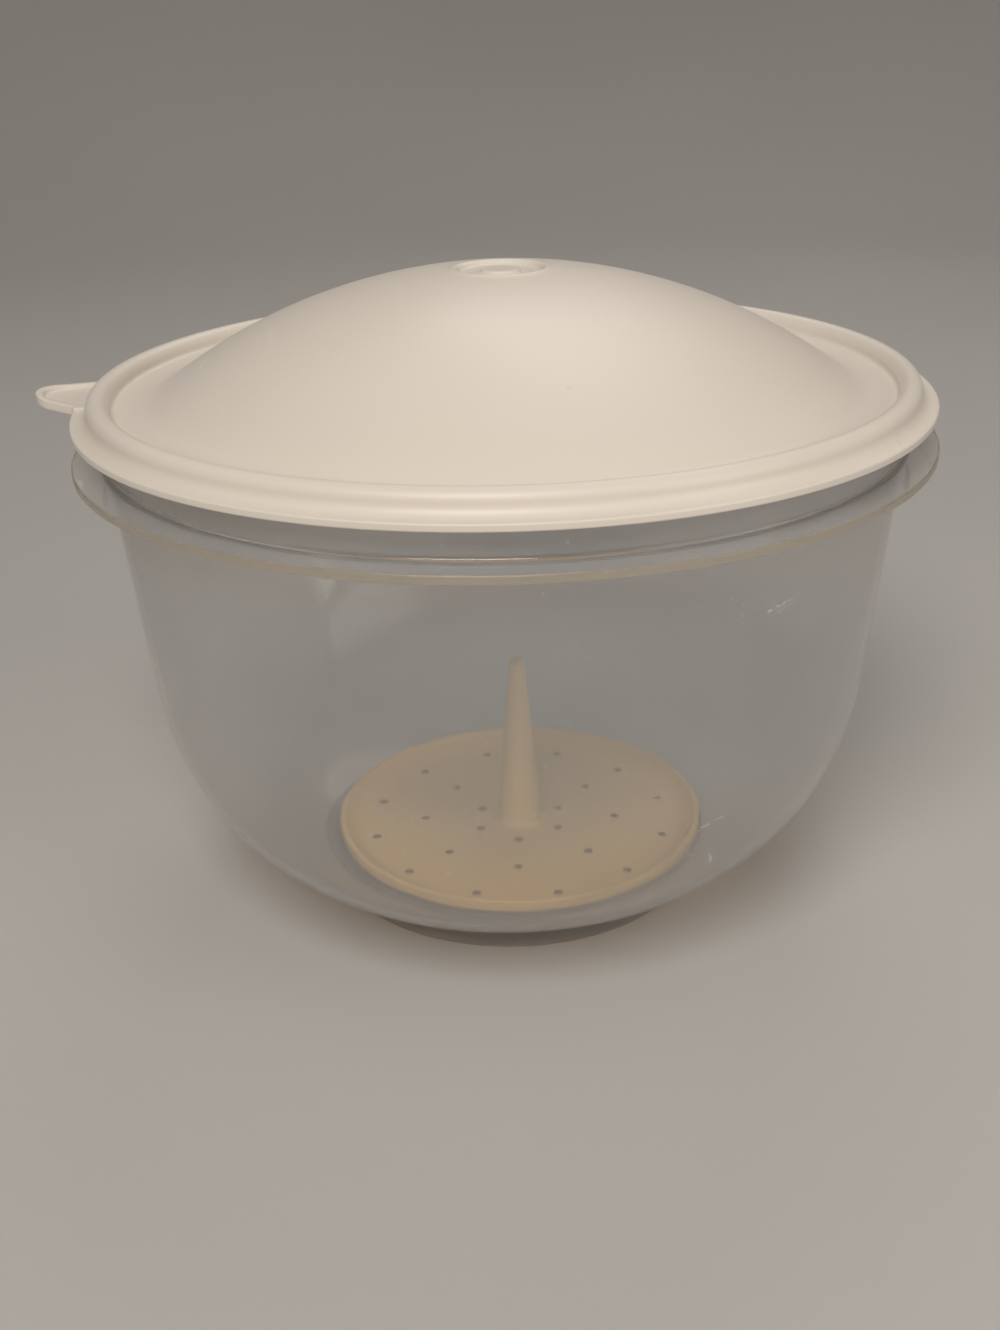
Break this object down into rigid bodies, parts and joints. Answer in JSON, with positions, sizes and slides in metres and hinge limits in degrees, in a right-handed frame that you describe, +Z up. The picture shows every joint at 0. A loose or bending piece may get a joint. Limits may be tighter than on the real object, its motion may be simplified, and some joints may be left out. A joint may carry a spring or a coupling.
{
  "type": "lettuce keeper",
  "caption": "Round lettuce keeper: a deep sheer bowl with a grip flange and a foot ring, a domed press-on lid with a pull tab, and a loose drain plate with a core spike.",
  "frame": {"origin": "centre of the foot ring's standing face, on the bowl's axis", "axes": "+Z up along the bowl's axis; the lid's pull tab points along -X; the picture is taken from the -Y side"},
  "size_m": [0.2209, 0.2098, 0.1603],
  "materials": {
    "sheer_plastic": "milky see-through polypropylene, smooth, faintly frosted",
    "lid_plastic": "opaque white, satin",
    "insert_plastic": "opaque white, satin"
  },
  "bodies": {
    "bowl_body": {"bowl": "sheer_plastic", "spiked_insert": "insert_plastic"},
    "lid_body": {"lid": "lid_plastic"}
  },
  "joints": [
    {"name": "lid_lift", "type": "slide", "parent": "bowl_body", "child": "lid_body", "axis": [0, 0, 1], "range_m": [0, 0.12]}
  ]
}
